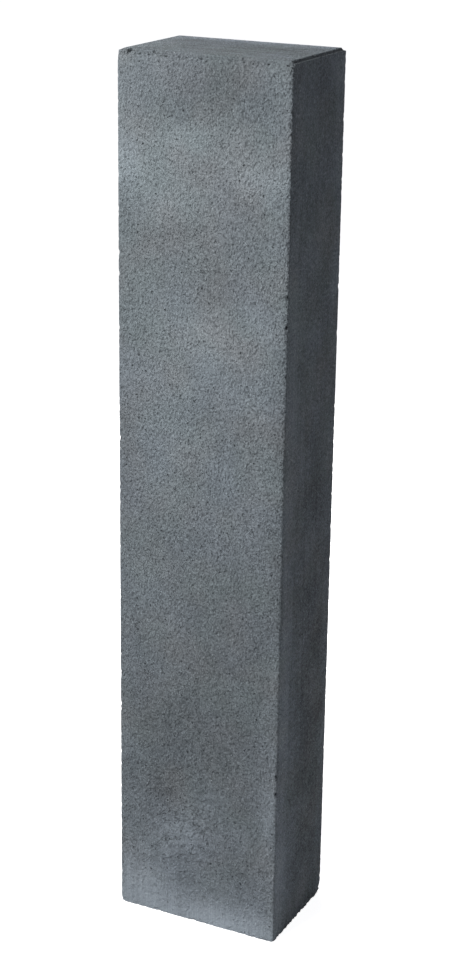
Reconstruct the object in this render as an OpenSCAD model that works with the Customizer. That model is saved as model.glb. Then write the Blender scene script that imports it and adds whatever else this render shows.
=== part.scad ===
// Solid concrete palisade block, standing upright on the face it was cast on.
// The origin is at the centre of that base. +Z is up, X runs across the broad
// face and Y runs through the block, with the broad front face at -Y.

/* [Block] */
// Width across the broad face, side to side
block_width = 180; // [80:1:400]
// Depth from the broad front face to the back
block_depth = 120; // [60:1:300]
// Height from the base to the tamped top
block_height = 900; // [200:5:2000]

/* [Upright arrises] */
// Radius of the four upright edges, as the mould box leaves them
arris_radius = 2.5; // [1:0.5:20]

/* [Tamped top] */
// Width of the flat land between the side faces and the foot of the chamfer
land_width = 2.6; // [0.5:0.1:10]
// How far the chamfer leans in from its foot to the top face
chamfer_run = 1.6; // [0.5:0.1:10]
// Height of the top face above the land
chamfer_rise = 2.3; // [0.5:0.1:15]

/* [Hidden] */
arc_segments = 48;
anthracite = "#6f777c";
land_height = block_height - chamfer_rise;

// Upright outline of the block seen square on, for the face of that width.
// The tamper head presses the top between its chamfered edges, and the land is
// the mark of its rim beside the mould wall.
module elevation(face_width) {
    side = face_width / 2;
    chamfer_foot = side - land_width;
    top_edge = chamfer_foot - chamfer_run;
    polygon([
        [-side, 0],
        [side, 0],
        [side, land_height],
        [chamfer_foot, land_height],
        [top_edge, block_height],
        [-top_edge, block_height],
        [-chamfer_foot, land_height],
        [-side, land_height],
    ]);
}

// Section of the mould box, with its four rounded corners.
module mould_section() {
    corner_x = block_width / 2 - arris_radius;
    corner_y = block_depth / 2 - arris_radius;
    square([block_width, 2 * corner_y], center = true);
    square([2 * corner_x, block_depth], center = true);
    for (x = [-corner_x, corner_x], y = [-corner_y, corner_y])
        translate([x, y])
            circle(r = arris_radius, $fn = arc_segments);
}

// One casting: the front and side elevations meet in mitres round the top,
// inside the upright mould section.
module concrete_block() {
    color(anthracite)
        intersection() {
            rotate([90, 0, 0])
                linear_extrude(height = block_depth, center = true)
                    elevation(block_width);
            rotate([90, 0, 90])
                linear_extrude(height = block_width, center = true)
                    elevation(block_depth);
            linear_extrude(height = block_height)
                mould_section();
        }
}

concrete_block();
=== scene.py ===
"""A solid concrete palisade block, standing on end on a pale studio floor.

Lengths are metres in the frame's own axes: +Z is up, X runs across the broad
face and Y runs through the block, with the broad front face at -Y.
"""
import math
import random
from collections import namedtuple

import bpy
import numpy as np
from mathutils import Matrix, Vector, kdtree, noise


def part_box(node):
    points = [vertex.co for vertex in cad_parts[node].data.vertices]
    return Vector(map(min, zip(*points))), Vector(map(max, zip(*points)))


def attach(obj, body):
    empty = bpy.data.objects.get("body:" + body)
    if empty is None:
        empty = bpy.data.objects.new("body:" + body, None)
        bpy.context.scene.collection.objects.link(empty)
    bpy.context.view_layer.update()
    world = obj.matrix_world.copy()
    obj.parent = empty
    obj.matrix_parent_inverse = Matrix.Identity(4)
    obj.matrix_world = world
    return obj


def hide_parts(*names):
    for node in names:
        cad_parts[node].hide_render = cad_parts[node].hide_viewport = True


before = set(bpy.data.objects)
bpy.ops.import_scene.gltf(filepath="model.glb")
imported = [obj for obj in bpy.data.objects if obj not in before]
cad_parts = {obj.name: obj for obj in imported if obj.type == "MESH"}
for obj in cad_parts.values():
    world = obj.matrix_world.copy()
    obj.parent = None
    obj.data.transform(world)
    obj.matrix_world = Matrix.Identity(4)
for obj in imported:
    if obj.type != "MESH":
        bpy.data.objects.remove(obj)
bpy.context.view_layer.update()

MM = 0.001
NODE = "concrete_block"
PIECE = "palisade_block"
BODY = "root"

# Sizes of the casting, as in the part's source, but with arrises as crisp as they came out
node_low, node_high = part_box(NODE)
WIDTH = node_high[0] - node_low[0]
DEPTH = node_high[1] - node_low[1]
HEIGHT = node_high[2] - node_low[2]
ARRIS_RADIUS = 1.6 * MM
LAND_WIDTH = 2.6 * MM
CHAMFER_RUN = 1.6 * MM
CHAMFER_RISE = 2.3 * MM
LAND_HEIGHT = HEIGHT - CHAMFER_RISE
HALF_WIDTH = WIDTH / 2
HALF_DEPTH = DEPTH / 2

# Mesh lines: fine cells in a rim along every edge, wider ones inside the faces
CHAMFER_TOP = LAND_WIDTH + CHAMFER_RUN
FIRST_STEP_IN = 1.0 * MM
SECOND_STEP_IN = 2.2 * MM
RIM_LINES = (
    0,
    LAND_WIDTH / 3,
    LAND_WIDTH * 2 / 3,
    LAND_WIDTH,
    LAND_WIDTH + CHAMFER_RUN / 2,
    CHAMFER_TOP,
    CHAMFER_TOP + FIRST_STEP_IN,
    CHAMFER_TOP + SECOND_STEP_IN,
)
RIM_CELLS = len(RIM_LINES) - 1
RIM_WIDTH = RIM_LINES[-1]
CHAMFER_LINE = RIM_LINES.index(CHAMFER_TOP)
CROSS_STRIDE = 3
UPRIGHT_STRIDE = 2
WIDTH_CELLS = 42
DEPTH_CELLS = 27
HEIGHT_CELLS = 316

# Order of the materials on the block
BROAD, NARROW, TAMPED, PALLET = range(4)

# Flat layout for baking: five columns with a gap round each chart
CHART_GAP = 6 * MM


def srgb(red, green, blue):
    """Linear colour, with alpha, from 0 to 255 screen values."""
    def linear(value):
        value /= 255
        return value / 12.92 if value <= 0.04045 else ((value + 0.055) / 1.055) ** 2.4
    return (linear(red), linear(green), linear(blue), 1.0)


# Tones of the concrete, and the colour of its painted shade
ANTHRACITE_TEAL = srgb(114.6, 123, 125.9)
ANTHRACITE_WARM = srgb(117.8, 122.6, 125.6)
ANTHRACITE_BLUE = srgb(114.8, 122.5, 129)
# Painted shade: the colour that pits, creases and the foot of the chamfer are darkened towards
PAINTED_SHADE_DARK = srgb(44, 48, 51)
LIME_BLOOM = srgb(156.2, 165, 172.8)
PALE_GRIT = srgb(178, 184, 186)


# Mesh of the casting

def graded_lines(length, coarse_cells, stride):
    """Line positions along an edge: a fine rim at both ends and even cells between."""
    rim = np.array(RIM_LINES)
    inner = np.linspace(rim[-1], length - rim[-1], coarse_cells * stride + 1)
    return np.concatenate([rim[:-1], inner, length - rim[:-1][::-1]])


def cell_outline(left, right, low, high, ends, tops):
    """Corners of a coarse cell, with the fine points on each side that meets the rim."""
    points = []
    bottom_step = 1 if low == tops[0] else right - left
    points += [(i, low) for i in range(left, right, bottom_step)]
    right_step = 1 if right == ends[1] else high - low
    points += [(right, j) for j in range(low, high, right_step)]
    top_step = 1 if high == tops[1] else right - left
    points += [(i, high) for i in range(right, left, -top_step)]
    left_step = 1 if left == ends[0] else high - low
    points += [(left, j) for j in range(high, low, -left_step)]
    return points


def face_outlines(across, along, across_stride, along_stride):
    """Cells of one face as outlines of line numbers, anticlockwise seen from outside."""
    ends = (RIM_CELLS, across - RIM_CELLS)
    tops = (RIM_CELLS, along - RIM_CELLS)
    for i in range(across):
        for j in range(along):
            if ends[0] <= i < ends[1] and tops[0] <= j < tops[1]:
                continue
            yield [(i, j), (i + 1, j), (i + 1, j + 1), (i, j + 1)]
    for i in range(*ends, across_stride):
        for j in range(*tops, along_stride):
            yield cell_outline(i, i + across_stride, j, j + along_stride, ends, tops)


def beside_chamfer(outline, across, along):
    """Whether a cell of the top lies on the land or the chamfer."""
    i, j = np.mean(outline, axis=0)
    return min(i, across - i, j, along - j) < CHAMFER_LINE


def build_lattice():
    """Points, cells, materials and bake layout of the plain box that is shaped later."""
    lines_x = graded_lines(WIDTH, WIDTH_CELLS, CROSS_STRIDE)
    lines_y = graded_lines(DEPTH, DEPTH_CELLS, CROSS_STRIDE)
    lines_z = graded_lines(LAND_HEIGHT, HEIGHT_CELLS, UPRIGHT_STRIDE)
    nx, ny, nz = len(lines_x) - 1, len(lines_y) - 1, len(lines_z) - 1
    chart_starts = np.cumsum([0, WIDTH, DEPTH, WIDTH, DEPTH])
    columns = chart_starts + CHART_GAP * np.arange(1, len(chart_starts) + 1)
    layout = np.array([columns[-1] + DEPTH + CHART_GAP, LAND_HEIGHT + 2 * CHART_GAP])
    upper_chart = 2 * CHART_GAP + WIDTH

    def wall(column):
        return lambda u, v: (columns[column] + u, CHART_GAP + v)

    def cap(rise, width):
        return lambda u, v: (columns[-1] + v, rise + width - u)

    # Each face: cells across, cells along, line numbers in space, lines, chart, material
    faces = [
        (nx, nz, lambda i, j: (i, 0, j), lines_x, lines_z, wall(0), BROAD),
        (ny, nz, lambda i, j: (nx, i, j), lines_y, lines_z, wall(1), NARROW),
        (nx, nz, lambda i, j: (nx - i, ny, j), lines_x, lines_z, wall(2), BROAD),
        (ny, nz, lambda i, j: (0, ny - i, j), lines_y, lines_z, wall(3), NARROW),
        (nx, ny, lambda i, j: (i, j, nz), lines_x, lines_y, cap(CHART_GAP, WIDTH), TAMPED),
        (nx, ny, lambda i, j: (nx - i, j, 0), lines_x, lines_y, cap(upper_chart, WIDTH), PALLET),
    ]
    number = {}
    cells, materials, layout_points = [], [], []
    for across, along, in_space, lines_u, lines_v, chart, material in faces:
        along_stride = UPRIGHT_STRIDE if along == nz else CROSS_STRIDE
        for outline in face_outlines(across, along, CROSS_STRIDE, along_stride):
            cells.append([number.setdefault(in_space(i, j), len(number)) for i, j in outline])
            on_rim = material == TAMPED and beside_chamfer(outline, across, along)
            materials.append(BROAD if on_rim else material)
            layout_points += [chart(lines_u[i], lines_v[j]) for i, j in outline]
    keys = np.array(list(number))
    box = np.stack([lines_x[keys[:, 0]], lines_y[keys[:, 1]], lines_z[keys[:, 2]]], axis=1)
    box -= (HALF_WIDTH, HALF_DEPTH, 0)
    on_top = keys[:, 2] == nz
    return box, on_top, cells, materials, np.array(layout_points) / layout


def round_arrises(box):
    """Bends the square plan corners to the mould's rounded ones."""
    shaped = box.copy()
    centre = np.array([HALF_WIDTH, HALF_DEPTH]) - ARRIS_RADIUS
    reach = (np.abs(box[:, :2]) - centre) / ARRIS_RADIUS
    corner = (reach > 0).all(axis=1)
    local = reach[corner]
    local *= (local.max(axis=1) / np.hypot(local[:, 0], local[:, 1]))[:, None]
    shaped[corner, :2] = np.sign(box[corner, :2]) * (centre + local * ARRIS_RADIUS)
    return shaped


def insets(box):
    """Distance of each point of the plain box from its nearest narrow side and nearest broad face."""
    return HALF_WIDTH - np.abs(box[:, 0]), HALF_DEPTH - np.abs(box[:, 1])


def nearness(distance, reach):
    """1 at an edge, falling evenly to 0 at a reach from it."""
    return np.clip(1 - distance / reach, 0, 1)


# Mould and tamper marks: the broad faces roll back to the arrises, less at the base than
# at the top and less on the left than on the right, the land droops outwards round the top,
# and is nearly filled in one corner
LEFT_ROLL = (0.2 * MM, 0.5 * MM)
RIGHT_ROLL = (0.4 * MM, 1.1 * MM)
LAND_DROOP = 0.7 * MM
LAND_FILL = 0.65
LAND_FILL_REACH = 22 * MM


def roll_depth(side_x, height):
    """How far the arrises on one side lie behind the broad faces at a height."""
    ends = (0, LAND_HEIGHT)
    right = np.interp(height, ends, RIGHT_ROLL)
    left = np.interp(height, ends, LEFT_ROLL)
    return np.where(side_x > 0, right, left)


def roll_broad_faces(shaped, box):
    """Bends the broad faces back a little towards the upright arrises."""
    across, through = insets(box)
    roll = nearness(across, RIM_WIDTH) ** 2 * nearness(through, RIM_WIDTH)
    shaped[:, 1] -= np.sign(box[:, 1]) * roll * roll_depth(box[:, 0], box[:, 2])
    return shaped


def press_top(shaped, box, on_top):
    """Raises the tamped top face inside its chamfer, with the drooping land left round it."""
    inset = np.minimum(*insets(box))
    from_corner = np.hypot(box[:, 0] + HALF_WIDTH, box[:, 1] + HALF_DEPTH)
    filled = LAND_FILL * np.exp(-(from_corner / LAND_FILL_REACH) ** 2)
    land_shift = filled * CHAMFER_RISE - LAND_DROOP * nearness(inset, LAND_WIDTH) ** 2
    climb = np.clip((inset - LAND_WIDTH) / CHAMFER_RUN, 0, 1) * on_top
    near_top = nearness(LAND_HEIGHT - box[:, 2], RIM_WIDTH)
    shaped[:, 2] += land_shift * near_top * (1 - climb) + CHAMFER_RISE * climb
    return shaped


# The near corner of the top was knocked to a rounded facet: the depth of the cut, the radius
# of the facet, and how far from the corner it can reach
KNOCK_DEPTH = 3.5 * MM
KNOCK_RADIUS = 25 * MM
KNOCK_REACH = 12 * MM


def knock_corner(shaped):
    """Cuts the near corner of the top back to its facet."""
    corner = np.array([HALF_WIDTH, -HALF_DEPTH, LAND_HEIGHT])
    inward = np.array([-1, 1, -1]) / math.sqrt(3)
    centre = corner + inward * (KNOCK_RADIUS + KNOCK_DEPTH)
    away = shaped - centre
    distance = np.linalg.norm(away, axis=1)
    near = np.linalg.norm(shaped - corner, axis=1) < KNOCK_REACH
    cut = near & (distance > KNOCK_RADIUS)
    shaped[cut] = centre + away[cut] * (KNOCK_RADIUS / distance[cut])[:, None]
    return shaped


# Wear and casting flaws, as bowls (place, radius, depth) pressed into the surface.
# Each kind of wear is a spacing, a range of radius and a range of depth, in millimetres.
WEAR_SEED = 18
NEAR_ARRIS = (
    (14, (1.6, 2.4), (0.1, 0.3)),
    (45, (2.2, 3.4), (0.4, 0.9)),
)
CRUMBLED_ARRIS = (
    (9, (1.5, 2.4), (0.25, 0.75)),
    (40, (2.2, 3.4), (0.5, 1.2)),
)
SOUND_ARRIS = (
    (9, (1.5, 2.4), (0.1, 0.5)),
    (40, (2.2, 3.4), (0.3, 0.8)),
)
PITTED_EDGE = (
    (5, (1.2, 1.8), (0.7, 1.5)),
    (13, (1.6, 2.4), (0.9, 1.7)),
)
SOUND_EDGE = ((40, (1.5, 2.2), (0.3, 0.7)),)
WORN_EDGE = (
    (12, (1.6, 2.4), (0.1, 0.4)),
    (35, (2.0, 3.4), (0.3, 0.7)),
)
CHIPPED_EDGE = (
    (9, (1.6, 2.6), (0.2, 0.7)),
    (28, (2.0, 3.4), (0.4, 1.0)),
)
RAGGED_EDGE = (
    (5, (1.6, 2.2), (0.3, 1.0)),
    (12, (2.0, 3.0), (0.6, 1.3)),
)
# Upright arrises, by side in X and side in Y
ARRISES = (
    (-1, -1, CRUMBLED_ARRIS),
    (-1, 1, CRUMBLED_ARRIS),
    (1, -1, NEAR_ARRIS),
    (1, 1, SOUND_ARRIS),
)
# Edges round the block in the order front, right, back, left
TOP_EDGES = (PITTED_EDGE, SOUND_EDGE, PITTED_EDGE, WORN_EDGE)
BASE_EDGES = (CHIPPED_EDGE, RAGGED_EDGE, RAGGED_EDGE, WORN_EDGE)
TOP_SCATTER = (-1.8 * MM, 0.5 * MM)
BASE_SCATTER = (0, 1.5 * MM)
ARRIS_SCATTER = 1.2 * MM
# Rubbed corners: side in X, side in Y, height, radius, depth
CORNER_RUBS = (
    (-1, -1, LAND_HEIGHT, 13 * MM, 1.3 * MM),
    (-1, -1, 0, 8 * MM, 1.8 * MM),
    (1, -1, 0, 5 * MM, 1.0 * MM),
    (1, 1, 0, 16 * MM, 3.0 * MM),
    (-1, 1, 0, 7 * MM, 1.2 * MM),
)
WALL_WAVE_LENGTH = 70 * MM
WALL_WAVE_DEPTH = 0.15 * MM
SAND_WAVE_LENGTH = 5 * MM
SAND_WAVE_DEPTH = 0.08 * MM
EDGE_WAVE_LENGTH = 16 * MM
EDGE_CRUMB_LENGTH = 4.5 * MM
EDGE_WAVE_DEPTH = 0.2 * MM
# Pit depths where the painted shade in a pit begins and where it is full
SHADED_DEPTH = (0.4 * MM, 1.3 * MM)
# Painted shade round the foot of the chamfer: distances in from the wall, the shades there along the
# narrow sides and along the broad faces, and the stretch from a corner in which it fades in
CHAMFER_SHADE_PLACES = (0, LAND_WIDTH, LAND_WIDTH + CHAMFER_RUN / 2, CHAMFER_TOP)
NARROW_CHAMFER_SHADE = (0.15, 0.75, 0.6, 0.0)
BROAD_CHAMFER_SHADE = (0.0, 0.15, 0.1, 0.0)
UNSHADED_CORNER = (3 * MM, 9 * MM)


def jittered(start, end, spacing, draw):
    """Points spread unevenly along a straight edge, about one in each spacing."""
    start, end = Vector(start), Vector(end)
    count = int((end - start).length / spacing)
    for k in range(count):
        yield start.lerp(end, (k + draw.random()) / count)


def arris_bowls(draw):
    """Crumbs and breaks along the four upright arrises."""
    inset = ARRIS_RADIUS * (1 - math.sqrt(0.5))
    bowls = []
    for side_x, side_y, wear in ARRISES:
        x = side_x * (HALF_WIDTH - inset)
        y = side_y * (HALF_DEPTH - inset)
        for spacing, radius, depth in wear:
            for place in jittered((x, y, 0), (x, y, LAND_HEIGHT), spacing * MM, draw):
                place.x += draw.gauss(0, ARRIS_SCATTER)
                place.y += draw.gauss(0, ARRIS_SCATTER) - side_y * roll_depth(side_x, place.z)
                bowls.append((place, draw.uniform(*radius) * MM, draw.uniform(*depth) * MM))
    return bowls


def ring_bowls(z, scatter, edges, draw):
    """Crumbs and breaks near the horizontal edges that run round the block at one height."""
    corners = [
        (-HALF_WIDTH, -HALF_DEPTH, z),
        (HALF_WIDTH, -HALF_DEPTH, z),
        (HALF_WIDTH, HALF_DEPTH, z),
        (-HALF_WIDTH, HALF_DEPTH, z),
    ]
    bowls = []
    for k, wear in enumerate(edges):
        for spacing, radius, depth in wear:
            for place in jittered(corners[k], corners[(k + 1) % len(corners)], spacing * MM, draw):
                place.z += draw.uniform(*scatter)
                bowls.append((place, draw.uniform(*radius) * MM, draw.uniform(*depth) * MM))
    return bowls


def corner_rubs():
    """The corners that were rubbed round where the block was dragged or knocked."""
    return [
        (Vector((side_x * HALF_WIDTH, side_y * HALF_DEPTH, z)), radius, depth)
        for side_x, side_y, z, radius, depth in CORNER_RUBS
    ]


# Breaks that stand out: one notch in the front edge of the top that runs down the face below,
# as bowls, and pits on the near arris, as height, radius and depth in millimetres
TOP_NOTCHES = (
    (Vector((-0.0775, -HALF_DEPTH + 3.6 * MM, HEIGHT - 0.5 * MM)), 2.8 * MM, 3.2 * MM),
    (Vector((-0.0775, -HALF_DEPTH + 1.2 * MM, HEIGHT - 1.8 * MM)), 2.4 * MM, 2.6 * MM),
    (Vector((-0.0785, -HALF_DEPTH, HEIGHT - 4.2 * MM)), 1.7 * MM, 0.9 * MM),
)
NEAR_PITS = (
    (855, 1.6, 1.0),
    (835, 1.7, 1.1),
    (818, 1.8, 1.1),
    (685, 2.0, 1.6),
    (656, 2.4, 2.4),
    (608, 1.8, 1.2),
    (191, 2.2, 2.2),
    (187, 1.6, 1.2),
    (171, 2.4, 2.4),
)
NEAR_PIT_INSET = 0.6 * MM


def seen_bowls():
    """The larger breaks that stand out along the near arris and the top."""
    near_x = HALF_WIDTH - NEAR_PIT_INSET
    near_y = -HALF_DEPTH + NEAR_PIT_INSET
    pits = []
    for height, radius, depth in NEAR_PITS:
        y = near_y + roll_depth(1, height * MM)
        pits.append((Vector((near_x, y, height * MM)), radius * MM, depth * MM))
    return list(TOP_NOTCHES) + pits


def hollowed(share):
    """Profile of a pit, from its middle to its rim."""
    return 1 - share ** 2


def rounded(share):
    """Profile of a rub, from the middle to where it fades out."""
    return (1 - share) ** 2


def press_bowls(shaped, bowls, profile):
    """Depth of all bowls at each point of the surface."""
    tree = kdtree.KDTree(len(shaped))
    for k, point in enumerate(shaped):
        tree.insert(point, k)
    tree.balance()
    depth = np.zeros(len(shaped))
    for place, radius, deepest in bowls:
        for _, k, distance in tree.find_range(place, radius):
            depth[k] = max(depth[k], deepest * profile(distance / radius))
    return depth


def swell(place, length):
    """A wave of that length at a place, from 0 to 1."""
    return 0.5 + 0.5 * noise.noise(place / length)


def surface_waves(shaped, box):
    """Slow unevenness of the mould walls, the coarse sandy relief and the ragged edges."""
    waves = np.empty(len(shaped))
    for k, point in enumerate(shaped):
        place = Vector(point)
        slow = WALL_WAVE_DEPTH * swell(place, WALL_WAVE_LENGTH)
        waves[k] = slow + SAND_WAVE_DEPTH * swell(place, SAND_WAVE_LENGTH)
    upright = np.minimum(box[:, 2], LAND_HEIGHT - box[:, 2])
    edge = np.sort(np.stack([*insets(box), upright], axis=1), axis=1)[:, 1]
    near_edge = nearness(edge, RIM_WIDTH)
    for k in np.flatnonzero(near_edge > 0):
        place = Vector(shaped[k])
        ragged = max(0, noise.noise(place / EDGE_WAVE_LENGTH) + noise.noise(place / EDGE_CRUMB_LENGTH))
        waves[k] += EDGE_WAVE_DEPTH * ragged * near_edge[k]
    return waves


def edge_bowls():
    """Every pit and crumb along the edges."""
    draw = random.Random(WEAR_SEED)
    bowls = arris_bowls(draw)
    bowls += ring_bowls(LAND_HEIGHT, TOP_SCATTER, TOP_EDGES, draw)
    bowls += ring_bowls(0, BASE_SCATTER, BASE_EDGES, draw)
    return bowls + seen_bowls()


def cavity_shade(cavity, box, on_top):
    """How dark each point is painted, with painted shade in the deep pits and round the foot of the
    chamfer.
    """
    shade = np.interp(cavity, SHADED_DEPTH, (0, 1))
    across, through = insets(box)
    clear_of_corner = np.interp(through, UNSHADED_CORNER, (0, 1))
    narrow_chamfer_shade = np.interp(across, CHAMFER_SHADE_PLACES, NARROW_CHAMFER_SHADE) * clear_of_corner * (across < through)
    broad_chamfer_shade = np.interp(through, CHAMFER_SHADE_PLACES, BROAD_CHAMFER_SHADE) * (through <= across)
    return np.maximum(shade, (narrow_chamfer_shade + broad_chamfer_shade) * on_top)


def concrete_block():
    """The casting as one closed mesh, with its arrises, tamped top and flaws."""
    box, on_top, cells, materials, layout = build_lattice()
    shaped = roll_broad_faces(round_arrises(box), box)
    shaped = knock_corner(press_top(shaped, box, on_top))
    mesh = bpy.data.meshes.new(PIECE)
    mesh.from_pydata(shaped.tolist(), [], cells)
    normals = np.empty(len(shaped) * 3, dtype=np.float32)
    mesh.vertex_normals.foreach_get("vector", normals)
    normals = normals.reshape(-1, 3)

    cavity = press_bowls(shaped, edge_bowls(), hollowed)
    rubbed = press_bowls(shaped, corner_rubs(), rounded)
    depth = np.maximum(cavity, rubbed) + surface_waves(shaped, box)
    worn = shaped - normals * depth[:, None]
    mesh.vertices.foreach_set("co", worn.astype(np.float32).ravel())

    mesh.polygons.foreach_set("material_index", materials)
    mesh.polygons.foreach_set("use_smooth", [True] * len(cells))
    charts = mesh.uv_layers.new(name="OFBake")
    charts.uv.foreach_set("vector", layout.astype(np.float32).ravel())
    # Painted shade at each point, in the deep pits and round the foot of the chamfer, for the materials
    # to darken
    hollow_shade = mesh.attributes.new("cavity", "FLOAT", "POINT")
    hollow_shade.data.foreach_set("value", cavity_shade(cavity, box, on_top).astype(np.float32))
    mesh.update()
    piece = bpy.data.objects.new(PIECE, mesh)
    bpy.context.scene.collection.objects.link(piece)
    return piece


# Shader building blocks

def place_node(tree, kind, settings=None, inputs=None):
    """Adds a node, sets its options, and links or sets each input given."""
    node = tree.nodes.new(kind)
    for name, value in (settings or {}).items():
        setattr(node, name, value)
    for name, value in (inputs or {}).items():
        if isinstance(value, bpy.types.NodeSocket):
            tree.links.new(value, node.inputs[name])
        else:
            node.inputs[name].default_value = value
    return node


def calc(tree, operation, *values):
    """Result of a math node."""
    node = place_node(tree, "ShaderNodeMath", {"operation": operation}, dict(enumerate(values)))
    return node.outputs[0]


def vector_calc(tree, operation, *values):
    """Vector result of a vector math node."""
    node = place_node(tree, "ShaderNodeVectorMath", {"operation": operation}, dict(enumerate(values)))
    return node.outputs[0]


def scaled(tree, vector, factor):
    """A vector or colour times one value."""
    node = place_node(tree, "ShaderNodeVectorMath", {"operation": "SCALE"}, {0: vector, 3: factor})
    return node.outputs["Vector"]


def dot_product(tree, first, second):
    """Dot product of two vectors."""
    node = place_node(tree, "ShaderNodeVectorMath", {"operation": "DOT_PRODUCT"}, {0: first, 1: second})
    return node.outputs["Value"]


def ramp(tree, value, low, high):
    """Smooth step of a value, from 0 at one limit to 1 at the other."""
    node = place_node(
        tree,
        "ShaderNodeMapRange",
        {"interpolation_type": "SMOOTHSTEP"},
        {"Value": value, "From Min": low, "From Max": high},
    )
    return node.outputs[0]


def swing(tree, value):
    """Spreads a value that runs from 0 to 1 over the range from -1 to 1."""
    return calc(tree, "MULTIPLY_ADD", value, 2.0, -1.0)


def blend_colours(tree, factor, first, second):
    """Mixes two colours, by the sockets of the node that are for colours."""
    node = place_node(tree, "ShaderNodeMix", {"data_type": "RGBA"}, {0: factor, 6: first, 7: second})
    return node.outputs[2]


def uneven_noise(tree, place, scale, fineness):
    """Outputs of a noise with that many finer layers, each so much weaker than the last."""
    layers, strength = fineness
    inputs = {"Vector": place, "Scale": scale, "Detail": layers, "Roughness": strength}
    return place_node(tree, "ShaderNodeTexNoise", inputs=inputs).outputs


def new_group(name, inputs, outputs):
    """An empty shader group with named sockets, and its two ends."""
    tree = bpy.data.node_groups.new(name, "ShaderNodeTree")
    for socket, kind in inputs.items():
        tree.interface.new_socket(socket, in_out="INPUT", socket_type=kind)
    for socket in outputs:
        tree.interface.new_socket(socket, in_out="OUTPUT", socket_type="NodeSocketFloat")
    start = tree.nodes.new("NodeGroupInput")
    end = tree.nodes.new("NodeGroupOutput")
    return tree, start.outputs, end.inputs


def place_group(tree, group, inputs):
    """Places a shader group in a material and returns its outputs."""
    return place_node(tree, "ShaderNodeGroup", {"node_tree": group}, inputs).outputs


# Effects that the materials share

# Fineness of each noise: how many finer layers it has, and how strong each is beside the last
DRIFT_FINENESS = (1.0, 0.5)
CLOUD_FINENESS = (2.0, 0.55)
HUE_FINENESS = (1.0, 0.5)
LUMP_FINENESS = (2.0, 0.6)
FOLD_FINENESS = (0.0, 0.5)
BREAK_FINENESS = (1.0, 0.5)
STREAK_FINENESS = (2.0, 0.6)
SPOT_FINENESS = (2.0, 0.5)

# The middle of a noise's colour, from which it goes either way
MIDDLE = (0.5, 0.5, 0.5)
# How the grains wander out of line: waves in a grain's length
DRIFT_SCALE = 0.8
# Distance from a grain's middle, in grains, where the painted shade in the gap round it begins and where
# it is full
GAP_SHADE_LIMITS = (0.65, 0.95)
# Open pockets in the sand: how many in a grain's length, and how high their rims stand in grains
POCKET_SCALE = 0.5
POCKET_RISE = 0.8
# How the mould draws the grains out: across, through and up
GRAIN_STRETCH = (0.85, 0.85, 1.13)
# Grains with a painted glint: their share of all lots, and how much paler the painted highlight makes
# them
GLINT_LOTS = (0.88, 0.98)
GLINT = 0.8


def sand_grain_group():
    """Packed sand: grains tilted each its own way, lighter and darker, some with a painted glint, and
    painted shade in the gaps between.
    """
    tree, given, result = new_group(
        "sand grain",
        {"Position": "NodeSocketVector", "Grain Size": "NodeSocketFloat"},
        ("Height", "Fleck", "Gap"),
    )
    sizes = scaled(tree, GRAIN_STRETCH, given["Grain Size"])
    counted = vector_calc(tree, "DIVIDE", given["Position"], sizes)
    drift = uneven_noise(tree, counted, DRIFT_SCALE, DRIFT_FINENESS)
    shift = vector_calc(tree, "SUBTRACT", drift["Color"], MIDDLE)
    place = vector_calc(tree, "ADD", counted, shift)
    grains = place_node(tree, "ShaderNodeTexVoronoi", inputs={"Vector": place, "Scale": 1.0}).outputs
    away = vector_calc(tree, "SUBTRACT", place, grains["Position"])
    tilt = vector_calc(tree, "SUBTRACT", grains["Color"], MIDDLE)
    rise = dot_product(tree, away, tilt)
    pockets = place_node(tree, "ShaderNodeTexVoronoi", inputs={"Vector": place, "Scale": POCKET_SCALE})
    height = calc(tree, "MULTIPLY_ADD", pockets.outputs["Distance"], POCKET_RISE, rise)
    tree.links.new(height, result["Height"])
    lots = place_node(tree, "ShaderNodeTexWhiteNoise", inputs={"Vector": grains["Position"]})
    lot = lots.outputs["Value"]
    # Painted glint: the highest lots of grains are brightened as a highlight
    glint = ramp(tree, lot, *GLINT_LOTS)
    tree.links.new(calc(tree, "MULTIPLY_ADD", glint, GLINT, swing(tree, lot)), result["Fleck"])
    tree.links.new(ramp(tree, grains["Distance"], *GAP_SHADE_LIMITS), result["Gap"])
    return tree


# Places in the noise, in metres, where each hue has clouds of its own, and the noise's values
# where the hue begins and where it is full
HUE_OFFSETS = {"Blueness": (1.7, 0.4, 4.2), "Warmth": (4.1, 2.3, 0.9)}
HUE_LIMITS = (0.3, 0.7)


def cloudy_tone_group():
    """Clouds in the concrete: lighter or darker, bluer or less so, and warmer or more teal."""
    tree, given, result = new_group(
        "cloudy tone",
        {"Position": "NodeSocketVector", "Cloud Size": "NodeSocketFloat"},
        ("Tone", "Blueness", "Warmth"),
    )
    scale = calc(tree, "DIVIDE", 1.0, given["Cloud Size"])
    clouds = uneven_noise(tree, given["Position"], scale, CLOUD_FINENESS)
    tree.links.new(swing(tree, clouds[0]), result["Tone"])
    for hue, offset in HUE_OFFSETS.items():
        elsewhere = vector_calc(tree, "ADD", given["Position"], offset)
        patches = uneven_noise(tree, elsewhere, scale, HUE_FINENESS)
        tree.links.new(ramp(tree, patches[0], *HUE_LIMITS), result[hue])
    return tree


# Creases dragged in the skin: their tilt, how much they are drawn out, how thin they are, where
# they break off, and a place in the noise, in metres, for the breaks
CREASE_TILT = math.radians(-45)
CREASE_STRETCH = (2.0, 1.0, 0.6)
CREASE_LINE = (0.16, 0.04)
CREASE_BREAKS = (0.50, 0.58)
CREASE_OFFSET = (2.9, 5.3, 1.1)


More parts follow.
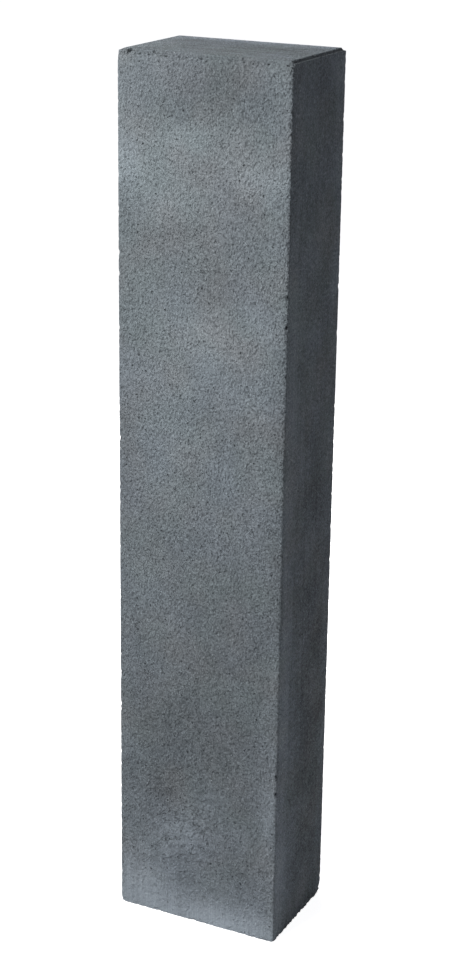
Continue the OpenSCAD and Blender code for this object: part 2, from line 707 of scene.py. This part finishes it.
def lumpy_skin_group():
    """Lumps and dimples where the mix was pressed against the mould, as a height, and thin creases."""
    tree, given, result = new_group(
        "lumpy skin",
        {"Position": "NodeSocketVector", "Lump Size": "NodeSocketFloat"},
        ("Height", "Crease"),
    )
    scale = calc(tree, "DIVIDE", 1.0, given["Lump Size"])
    lumps = uneven_noise(tree, given["Position"], scale, LUMP_FINENESS)
    tree.links.new(swing(tree, lumps[0]), result["Height"])
    dragged = place_node(
        tree,
        "ShaderNodeMapping",
        {"vector_type": "TEXTURE"},
        {"Vector": given["Position"], "Rotation": (0, CREASE_TILT, 0), "Scale": CREASE_STRETCH},
    )
    folds = uneven_noise(tree, dragged.outputs[0], scale, FOLD_FINENESS)
    line = ramp(tree, calc(tree, "ABSOLUTE", swing(tree, folds[0])), *CREASE_LINE)
    elsewhere = vector_calc(tree, "ADD", given["Position"], CREASE_OFFSET)
    breaks = uneven_noise(tree, elsewhere, scale, BREAK_FINENESS)
    kept = ramp(tree, breaks[0], *CREASE_BREAKS)
    tree.links.new(calc(tree, "MULTIPLY", line, kept), result["Crease"])
    return tree


def drawn_streaks_group():
    """Faint streaks left by the mould wall or the tamper, as long and wide as Stretch says."""
    tree, given, result = new_group(
        "drawn streaks",
        {"Position": "NodeSocketVector", "Stretch": "NodeSocketVector"},
        ("Streak",),
    )
    drawn = vector_calc(tree, "DIVIDE", given["Position"], given["Stretch"])
    streaks = uneven_noise(tree, drawn, 1.0, STREAK_FINENESS)
    tree.links.new(swing(tree, streaks[0]), result["Streak"])
    return tree


# Spots: waves of their ragged rims in a radius and how far the rims stray, the smallest as a share
# of the largest and the spread above it, and the shares of a radius where a spot begins and is full
SPOT_RAGGEDNESS = 1.2
SPOT_STRAY = 2.0
SPOT_SMALLEST = 0.4
SPOT_SPREAD = 0.6
SPOT_LIMITS = (1.0, 0.4)


def ragged_spots_group():
    """Scattered ragged spots, such as air holes, as a mask that is 1 in the middle of each."""
    tree, given, result = new_group(
        "ragged spots",
        {
            "Position": "NodeSocketVector",
            "Spacing": "NodeSocketFloat",
            "Radius": "NodeSocketFloat",
            "Share": "NodeSocketFloat",
        },
        ("Mask",),
    )
    per_metre = calc(tree, "DIVIDE", 1.0, given["Spacing"])
    cells = place_node(
        tree,
        "ShaderNodeTexVoronoi",
        inputs={"Vector": given["Position"], "Scale": per_metre},
    ).outputs
    waves = calc(tree, "DIVIDE", SPOT_RAGGEDNESS, given["Radius"])
    ragged = uneven_noise(tree, given["Position"], waves, SPOT_FINENESS)
    distance = calc(tree, "MULTIPLY", cells["Distance"], given["Spacing"])
    distance = calc(tree, "MULTIPLY", distance, calc(tree, "MULTIPLY", ragged[0], SPOT_STRAY))
    fate = place_node(tree, "ShaderNodeSeparateColor", inputs={0: cells["Color"]}).outputs
    size = calc(tree, "MULTIPLY_ADD", fate["Green"], SPOT_SPREAD, SPOT_SMALLEST)
    edge = calc(tree, "MULTIPLY", size, given["Radius"])
    spot = ramp(tree, calc(tree, "DIVIDE", distance, edge), *SPOT_LIMITS)
    present = calc(tree, "LESS_THAN", fate["Red"], given["Share"])
    tree.links.new(calc(tree, "MULTIPLY", spot, present), result["Mask"])
    return tree


def soft_patch_group():
    """One soft-edged patch round a centre, as a mask."""
    tree, given, result = new_group(
        "soft patch",
        {
            "Position": "NodeSocketVector",
            "Centre": "NodeSocketVector",
            "Reach": "NodeSocketVector",
        },
        ("Mask",),
    )
    away = vector_calc(tree, "SUBTRACT", given["Position"], given["Centre"])
    share = vector_calc(tree, "DIVIDE", away, given["Reach"])
    fade = calc(tree, "MULTIPLY", dot_product(tree, share, share), -1.0)
    tree.links.new(calc(tree, "EXPONENT", fade), result["Mask"])
    return tree


SAND_GRAIN = sand_grain_group()
CLOUDY_TONE = cloudy_tone_group()
LUMPY_SKIN = lumpy_skin_group()
DRAWN_STREAKS = drawn_streaks_group()
RAGGED_SPOTS = ragged_spots_group()
SOFT_PATCH = soft_patch_group()

# Patches of each face: centre, reach, and change of brightness, of blueness, of lime bloom,
# of lumpiness or of grain
FRONT = -HALF_DEPTH
BACK = HALF_DEPTH
RIGHT = HALF_WIDTH
Patches = namedtuple("Patches", "tone blue bloom lump grain")
BROAD_PATCHES = Patches(
    tone=(
        ((-0.085, FRONT, 0.792), (0.045, 0.030, 0.028), 0.38),
        ((-0.008, FRONT, 0.822), (0.036, 0.030, 0.016), 0.22),
        ((0.060, FRONT, 0.790), (0.040, 0.030, 0.020), 0.32),
        ((-0.030, FRONT, 0.758), (0.040, 0.030, 0.018), 0.18),
        ((0.015, FRONT, 0.872), (0.050, 0.030, 0.030), -0.30),
        ((-0.085, FRONT, 0.668), (0.035, 0.030, 0.025), -0.12),
        ((0.020, FRONT, 0.700), (0.040, 0.030, 0.020), -0.10),
        ((0.038, FRONT, 0.764), (0.022, 0.030, 0.016), -0.12),
        ((0.064, FRONT, 0.655), (0.020, 0.030, 0.032), 0.20),
        ((-0.010, FRONT, 0.625), (0.060, 0.030, 0.045), 0.28),
        ((-0.020, FRONT, 0.585), (0.018, 0.030, 0.018), 0.12),
        ((-0.040, FRONT, 0.530), (0.025, 0.030, 0.050), 0.18),
        ((0.030, FRONT, 0.500), (0.050, 0.030, 0.070), 0.12),
        ((0.086, FRONT, 0.500), (0.010, 0.030, 0.160), -0.14),
        ((0.045, FRONT, 0.330), (0.045, 0.030, 0.070), -0.16),
        ((-0.060, FRONT, 0.390), (0.020, 0.030, 0.040), 0.10),
        ((0.000, FRONT, 0.205), (0.120, 0.030, 0.070), -0.19),
        ((0.038, FRONT, 0.316), (0.018, 0.030, 0.016), 0.14),
        ((0.004, FRONT, 0.134), (0.026, 0.030, 0.016), 0.20),
        ((-0.050, FRONT, 0.134), (0.026, 0.030, 0.020), -0.16),
        ((-0.088, FRONT, 0.210), (0.012, 0.030, 0.040), 0.15),
        ((0.084, FRONT, 0.150), (0.016, 0.020, 0.110), 0.34),
    ),
    blue=(
        ((-0.020, FRONT, 0.800), (0.100, 0.030, 0.110), -0.35),
        ((0.020, FRONT, 0.500), (0.120, 0.030, 0.080), 0.15),
        ((0.010, FRONT, 0.060), (0.110, 0.030, 0.060), 0.42),
    ),
    bloom=(
        ((0.010, FRONT, 0.000), (0.130, 0.020, 0.030), 0.84),
        ((0.031, FRONT, 0.003), (0.030, 0.020, 0.016), 0.14),
        ((-0.075, FRONT, 0.025), (0.035, 0.020, 0.026), 0.20),
        ((-0.060, FRONT, 0.050), (0.040, 0.020, 0.030), 0.22),
        ((-0.020, FRONT, 0.100), (0.045, 0.020, 0.030), 0.26),
        ((0.020, BACK, 0.000), (0.120, 0.020, 0.030), 0.50),
    ),
    lump=(
        ((0.000, FRONT, 0.120), (0.150, 0.030, 0.130), 0.5),
        ((-0.022, FRONT, 0.105), (0.030, 0.030, 0.028), 1.0),
        ((0.030, BACK, 0.200), (0.100, 0.030, 0.150), 0.5),
    ),
    grain=(
        ((0.000, FRONT, 0.900), (0.300, 0.030, 0.350), -0.20),
        ((0.000, FRONT, 0.080), (0.300, 0.030, 0.110), -0.04),
    ),
)
NARROW_PATCHES = Patches(
    tone=(
        ((RIGHT, FRONT, 0.450), (0.050, 0.004, 0.600), -0.22),
        ((RIGHT, -0.044, 0.390), (0.050, 0.014, 0.300), 0.34),
        ((RIGHT, -0.046, 0.280), (0.050, 0.020, 0.040), 0.12),
        ((RIGHT, -0.028, 0.330), (0.050, 0.011, 0.025), -0.24),
        ((RIGHT, -0.010, 0.270), (0.050, 0.010, 0.022), -0.14),
        ((RIGHT, 0.054, 0.205), (0.050, 0.012, 0.045), 0.20),
        ((RIGHT, -0.048, 0.660), (0.050, 0.016, 0.070), 0.22),
        ((RIGHT, -0.020, 0.630), (0.050, 0.030, 0.050), 0.08),
        ((RIGHT, 0.020, 0.240), (0.050, 0.040, 0.330), -0.24),
        ((RIGHT, 0.010, 0.050), (0.050, 0.060, 0.080), -0.12),
        ((RIGHT, 0.055, 0.800), (0.050, 0.024, 0.200), 0.26),
        ((RIGHT, -0.050, 0.820), (0.050, 0.030, 0.040), -0.06),
    ),
    blue=(((RIGHT, FRONT, 0.080), (0.050, 0.070, 0.160), 0.40),),
    bloom=(((RIGHT, FRONT, 0.060), (0.050, 0.022, 0.110), 0.20),),
    lump=(((RIGHT, 0.000, 0.200), (0.050, 0.060, 0.250), 0.6),),
    grain=(),
)
TAMPED_PATCHES = Patches(
    tone=(
        ((0.000, 0.000, HEIGHT), (0.070, 0.018, 0.010), -0.16),
        ((-0.050, -0.052, HEIGHT), (0.080, 0.014, 0.010), 0.04),
        ((0.020, 0.060, HEIGHT), (0.090, 0.016, 0.010), 0.74),
        ((0.000, -0.018, HEIGHT), (0.080, 0.014, 0.010), -0.18),
    ),
    blue=(((0.000, 0.060, HEIGHT), (0.150, 0.030, 0.010), 0.80),),
    bloom=(((-0.085, 0.010, HEIGHT), (0.040, 0.080, 0.010), 0.25),),
    lump=(),
    grain=(),
)
PALLET_PATCHES = Patches(
    tone=(((0.030, 0.010, 0), (0.050, 0.040, 0.010), -0.08),),
    blue=(),
    bloom=(((-0.040, -0.020, 0), (0.060, 0.050, 0.010), 0.35),),
    lump=(((0.000, 0.000, 0), (0.090, 0.060, 0.010), 0.4),),
    grain=(),
)

# Finish of each face: its tone and hues, the size and depth of its grain, its flecks with their painted
# glints, the painted shade in the gaps of its grain, the depth of its lumps, the strength of its clouds
# and streaks, how the streaks are drawn out, and the share of its pits
Finish = namedtuple(
    "Finish",
    "tone warmth blueness grain_size grain_depth fleck gap lump cloud streak stretch pit_share",
)
BROAD_FINISH = Finish(
    tone=1.01,
    warmth=1.0,
    blueness=0.6,
    grain_size=1.35 * MM,
    grain_depth=1.9 * MM,
    fleck=0.17,
    gap=0.33,
    lump=1.6 * MM,
    cloud=0.22,
    streak=0.12,
    stretch=(3 * MM, 3 * MM, 90 * MM),
    pit_share=0.55,
)
NARROW_FINISH = BROAD_FINISH._replace(
    tone=1.03,
    blueness=0.8,
    fleck=0.26,
    cloud=0.45,
    streak=0.24,
    stretch=(4 * MM, 4 * MM, 120 * MM),
)
TAMPED_FINISH = Finish(
    tone=0.95,
    warmth=0.0,
    blueness=0.6,
    grain_size=1.5 * MM,
    grain_depth=1.5 * MM,
    fleck=0.24,
    gap=0.30,
    lump=0.6 * MM,
    cloud=0.45,
    streak=0.40,
    stretch=(60 * MM, 7 * MM, 7 * MM),
    pit_share=0.10,
)
PALLET_FINISH = Finish(
    tone=1.0,
    warmth=1.0,
    blueness=0.5,
    grain_size=1.9 * MM,
    grain_depth=2.0 * MM,
    fleck=0.25,
    gap=0.40,
    lump=1.2 * MM,
    cloud=0.50,
    streak=0.12,
    stretch=(5 * MM, 90 * MM, 5 * MM),
    pit_share=0.60,
)
CLOUD_SIZE = 50 * MM
LUMP_SIZE = 7 * MM
LUMP_STRENGTH = 0.25
# Painted light on the lumps and painted shade in the dimples and creases
LUMP_SHADE = 0.12
CREASE_SHADE = 0.26
# Air pits, with painted shade in them
PIT_SPACING = 7 * MM
PIT_RADIUS = 1.7 * MM
PIT_DEPTH = 0.8 * MM
PIT_SHADE = 0.75
GRIT_SPACING = 16 * MM
GRIT_RADIUS = 1.1 * MM
GRIT_SHARE = 0.08
BLOOM_SMOOTHING = 0.7
BLOOM_STREAKS = 0.35
CONCRETE_ROUGHNESS = 0.92
CONCRETE_SPECULAR = 0.2


def node_material(name):
    """A new material, its node tree and its shader."""
    material = bpy.data.materials.new(name)
    material.use_nodes = True
    tree = material.node_tree
    return material, tree, tree.nodes["Principled BSDF"]


def relief(tree, height, distance, strength, normal=None):
    """Normal of a surface with that relief."""
    inputs = {"Height": height, "Distance": distance, "Strength": strength}
    if normal is not None:
        inputs["Normal"] = normal
    return place_node(tree, "ShaderNodeBump", inputs=inputs).outputs[0]


def add_patches(tree, position, patches, start):
    """Sum of soft patches, each times its own value, on top of a starting value."""
    total = start
    for centre, reach, value in patches:
        patch = place_group(tree, SOFT_PATCH, {"Position": position, "Centre": centre, "Reach": reach})
        total = calc(tree, "MULTIPLY_ADD", patch["Mask"], value, total)
    return total


def concrete(name, finish, patches):
    """Anthracite concrete with its own grain, clouds, streaks, pits, grit, patches and lime bloom, with
    painted shade in its pits, creases, dimples, hollows and grain gaps, and painted light on its lumps
    and some grains.
    """
    material, tree, shader = node_material(name)
    position = place_node(tree, "ShaderNodeTexCoord").outputs["Object"]
    grain = place_group(tree, SAND_GRAIN, {"Position": position, "Grain Size": finish.grain_size})
    clouds = place_group(tree, CLOUDY_TONE, {"Position": position, "Cloud Size": CLOUD_SIZE})
    streaks = place_group(tree, DRAWN_STREAKS, {"Position": position, "Stretch": finish.stretch})
    lumps = place_group(tree, LUMPY_SKIN, {"Position": position, "Lump Size": LUMP_SIZE})
    pits = place_group(
        tree,
        RAGGED_SPOTS,
        {"Position": position, "Spacing": PIT_SPACING, "Radius": PIT_RADIUS, "Share": finish.pit_share},
    )
    grit = place_group(
        tree,
        RAGGED_SPOTS,
        {"Position": position, "Spacing": GRIT_SPACING, "Radius": GRIT_RADIUS, "Share": GRIT_SHARE},
    )

    # Where the lime lies, and where the grain and the lumps are stronger or weaker
    streaky = calc(tree, "MULTIPLY_ADD", streaks["Streak"], BLOOM_STREAKS, 1.0)
    bloom = calc(tree, "MULTIPLY", add_patches(tree, position, patches.bloom, 0.0), streaky)
    rough = add_patches(tree, position, patches.grain, 1.0)
    rough = calc(tree, "MULTIPLY_ADD", bloom, -BLOOM_SMOOTHING, rough)
    uneven = add_patches(tree, position, patches.lump, LUMP_STRENGTH)
    shaded_lumps = calc(tree, "MULTIPLY", lumps["Height"], uneven)
    creases = calc(tree, "MULTIPLY", lumps["Crease"], uneven)

    # Brightness and hue
    tone = add_patches(tree, position, patches.tone, finish.tone)
    tone = calc(tree, "MULTIPLY_ADD", clouds["Tone"], finish.cloud, tone)
    tone = calc(tree, "MULTIPLY_ADD", streaks["Streak"], finish.streak, tone)
    # Painted light on the lumps and painted shade in the dimples
    tone = calc(tree, "MULTIPLY_ADD", shaded_lumps, LUMP_SHADE, tone)
    # Flecks of the grain with their painted glints, less the painted shade in the gaps between grains
    speckle_glint_and_gap_shade = calc(tree, "MULTIPLY", grain["Fleck"], finish.fleck)
    speckle_glint_and_gap_shade = calc(tree, "MULTIPLY_ADD", grain["Gap"], -finish.gap, speckle_glint_and_gap_shade)
    tone = calc(tree, "MULTIPLY_ADD", speckle_glint_and_gap_shade, rough, tone)
    warmth = calc(tree, "MULTIPLY", clouds["Warmth"], finish.warmth)
    hue = blend_colours(tree, warmth, ANTHRACITE_TEAL, ANTHRACITE_WARM)
    blueness = calc(tree, "MULTIPLY", clouds["Blueness"], finish.blueness)
    blueness = add_patches(tree, position, patches.blue, blueness)
    hue = blend_colours(tree, blueness, hue, ANTHRACITE_BLUE)
    hue = blend_colours(tree, bloom, hue, LIME_BLOOM)
    colour = blend_colours(tree, grit["Mask"], scaled(tree, hue, tone), PALE_GRIT)
    # Painted shade: the pits, the creases, and the deep hollows and chamfer foot from the mesh are
    # darkened
    hollow_shade = place_node(tree, "ShaderNodeAttribute", {"attribute_name": "cavity"}).outputs["Fac"]
    dark = calc(tree, "MAXIMUM", hollow_shade, calc(tree, "MULTIPLY", pits["Mask"], PIT_SHADE))
    dark = calc(tree, "MAXIMUM", dark, calc(tree, "MULTIPLY", creases, CREASE_SHADE))
    colour = blend_colours(tree, dark, colour, PAINTED_SHADE_DARK)
    tree.links.new(colour, shader.inputs["Base Color"])

    # Relief
    dents = calc(tree, "MULTIPLY", calc(tree, "MAXIMUM", pits["Mask"], creases), -1.0)
    normal = relief(tree, shaded_lumps, finish.lump, 1.0)
    normal = relief(tree, dents, PIT_DEPTH, 1.0, normal)
    normal = relief(tree, grain["Height"], finish.grain_depth, rough, normal)
    tree.links.new(normal, shader.inputs["Normal"])
    shader.inputs["Roughness"].default_value = CONCRETE_ROUGHNESS
    shader.inputs["Specular IOR Level"].default_value = CONCRETE_SPECULAR
    return material


def broad_concrete():
    """The front and back, sandy where they were drawn from the mould."""
    return concrete("broad face concrete", BROAD_FINISH, BROAD_PATCHES)


def narrow_concrete():
    """The two narrow sides, with longer marks from the mould walls."""
    return concrete("narrow side concrete", NARROW_FINISH, NARROW_PATCHES)


def tamped_concrete():
    """The top, pressed smoother by the tamper head."""
    return concrete("tamped concrete", TAMPED_FINISH, TAMPED_PATCHES)


def pallet_concrete():
    """The underside, marked by the pallet that it was cast on."""
    return concrete("pallet concrete", PALLET_FINISH, PALLET_PATCHES)


# Studio: each soft box stands in a direction from the point it aims at
SoftBox = namedtuple("SoftBox", "towards aim power")
KEY = SoftBox(towards=Vector((-0.60, -1.16, 0.95)), aim=Vector((0, 0, 0.70)), power=40)
BACK_FILL = SoftBox(towards=Vector((-0.85, 1.10, 0.25)), aim=Vector((0, 0, 0.50)), power=22)
SOFT_BOX_DISTANCE = 1.75
SOFT_BOX_SIZE = 0.9
AMBIENT = 0.15
COOL_SKY = (0.99, 1.0, 1.13, 1.0)
WHITE = (1.0, 1.0, 1.0, 1.0)
FLOOR_ALBEDO = 0.8
FLOOR_GLOW = 0.90
FLOOR_SIZE = 60

CAMERA_AZIMUTH = math.radians(26.332)
CAMERA_ELEVATION = math.radians(19.427)
CAMERA_ROLL = math.radians(0.817)
CAMERA_DISTANCE = 2.019
CAMERA_AIM = Vector((0.00464, 0, 0.46873))
SENSOR = 36
LENS = 74.829


def seen_directly(tree):
    """1 for a ray from the camera, a reflection or a refraction."""
    path = place_node(tree, "ShaderNodeLightPath").outputs
    shown = calc(tree, "MAXIMUM", path["Is Camera Ray"], path["Is Glossy Ray"])
    return calc(tree, "MAXIMUM", shown, path["Is Transmission Ray"])


def studio_floor():
    """A pale floor that shows white and keeps the block's shadow."""
    mesh = bpy.data.meshes.new("studio_floor")
    half = FLOOR_SIZE / 2
    corners = [(-half, -half, 0), (half, -half, 0), (half, half, 0), (-half, half, 0)]
    mesh.from_pydata(corners, [], [(0, 1, 2, 3)])
    floor = bpy.data.objects.new("studio_floor", mesh)
    bpy.context.scene.collection.objects.link(floor)
    material, tree, shader = node_material("pale floor")
    shader.inputs["Base Color"].default_value = (FLOOR_ALBEDO, FLOOR_ALBEDO, FLOOR_ALBEDO, 1)
    shader.inputs["Roughness"].default_value = 1.0
    shader.inputs["Specular IOR Level"].default_value = 0.0
    shader.inputs["Emission Color"].default_value = WHITE
    glow = calc(tree, "MULTIPLY", seen_directly(tree), FLOOR_GLOW)
    tree.links.new(glow, shader.inputs["Emission Strength"])
    mesh.materials.append(material)


def soft_box(name, box):
    """A square area lamp that faces its aim."""
    lamp = bpy.data.lights.new(name, "AREA")
    lamp.shape = "SQUARE"
    lamp.size = SOFT_BOX_SIZE
    lamp.energy = box.power
    light = bpy.data.objects.new(name, lamp)
    towards = box.towards.normalized()
    light.location = box.aim + towards * SOFT_BOX_DISTANCE
    light.rotation_euler = towards.to_track_quat("Z", "Y").to_euler()
    bpy.context.scene.collection.objects.link(light)


def studio_light():
    """A soft key from the upper left, a weaker fill from behind, and a dim surround that shows white."""
    soft_box("key", KEY)
    soft_box("back fill", BACK_FILL)
    world = bpy.data.worlds.new("studio surround")
    world.use_nodes = True
    tree = world.node_tree
    sky = tree.nodes["Background"]
    shown = seen_directly(tree)
    tree.links.new(blend_colours(tree, shown, COOL_SKY, WHITE), sky.inputs["Color"])
    strength = calc(tree, "MULTIPLY_ADD", shown, 1 - AMBIENT, AMBIENT)
    tree.links.new(strength, sky.inputs["Strength"])
    bpy.context.scene.world = world


def photo_camera():
    """The camera at the photograph's viewing angle."""
    scene = bpy.context.scene
    back = Vector((
        math.sin(CAMERA_AZIMUTH) * math.cos(CAMERA_ELEVATION),
        -math.cos(CAMERA_AZIMUTH) * math.cos(CAMERA_ELEVATION),
        math.sin(CAMERA_ELEVATION),
    ))
    right = Vector((0, 0, 1)).cross(back).normalized()
    upright = Matrix((right, back.cross(right), back)).transposed()
    turned = upright @ Matrix.Rotation(CAMERA_ROLL, 3, "Z")
    lens = bpy.data.cameras.new("photo_camera")
    lens.sensor_width = SENSOR
    lens.lens = LENS
    camera = bpy.data.objects.new("photo_camera", lens)
    place = CAMERA_AIM + back * CAMERA_DISTANCE
    camera.matrix_world = Matrix.Translation(place) @ turned.to_4x4()
    scene.collection.objects.link(camera)
    scene.camera = camera


block = concrete_block()
for material in (broad_concrete(), narrow_concrete(), tamped_concrete(), pallet_concrete()):
    block.data.materials.append(material)
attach(block, BODY)
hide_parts(NODE)

studio_floor()
studio_light()
photo_camera()
bpy.context.scene.view_settings.view_transform = "Standard"
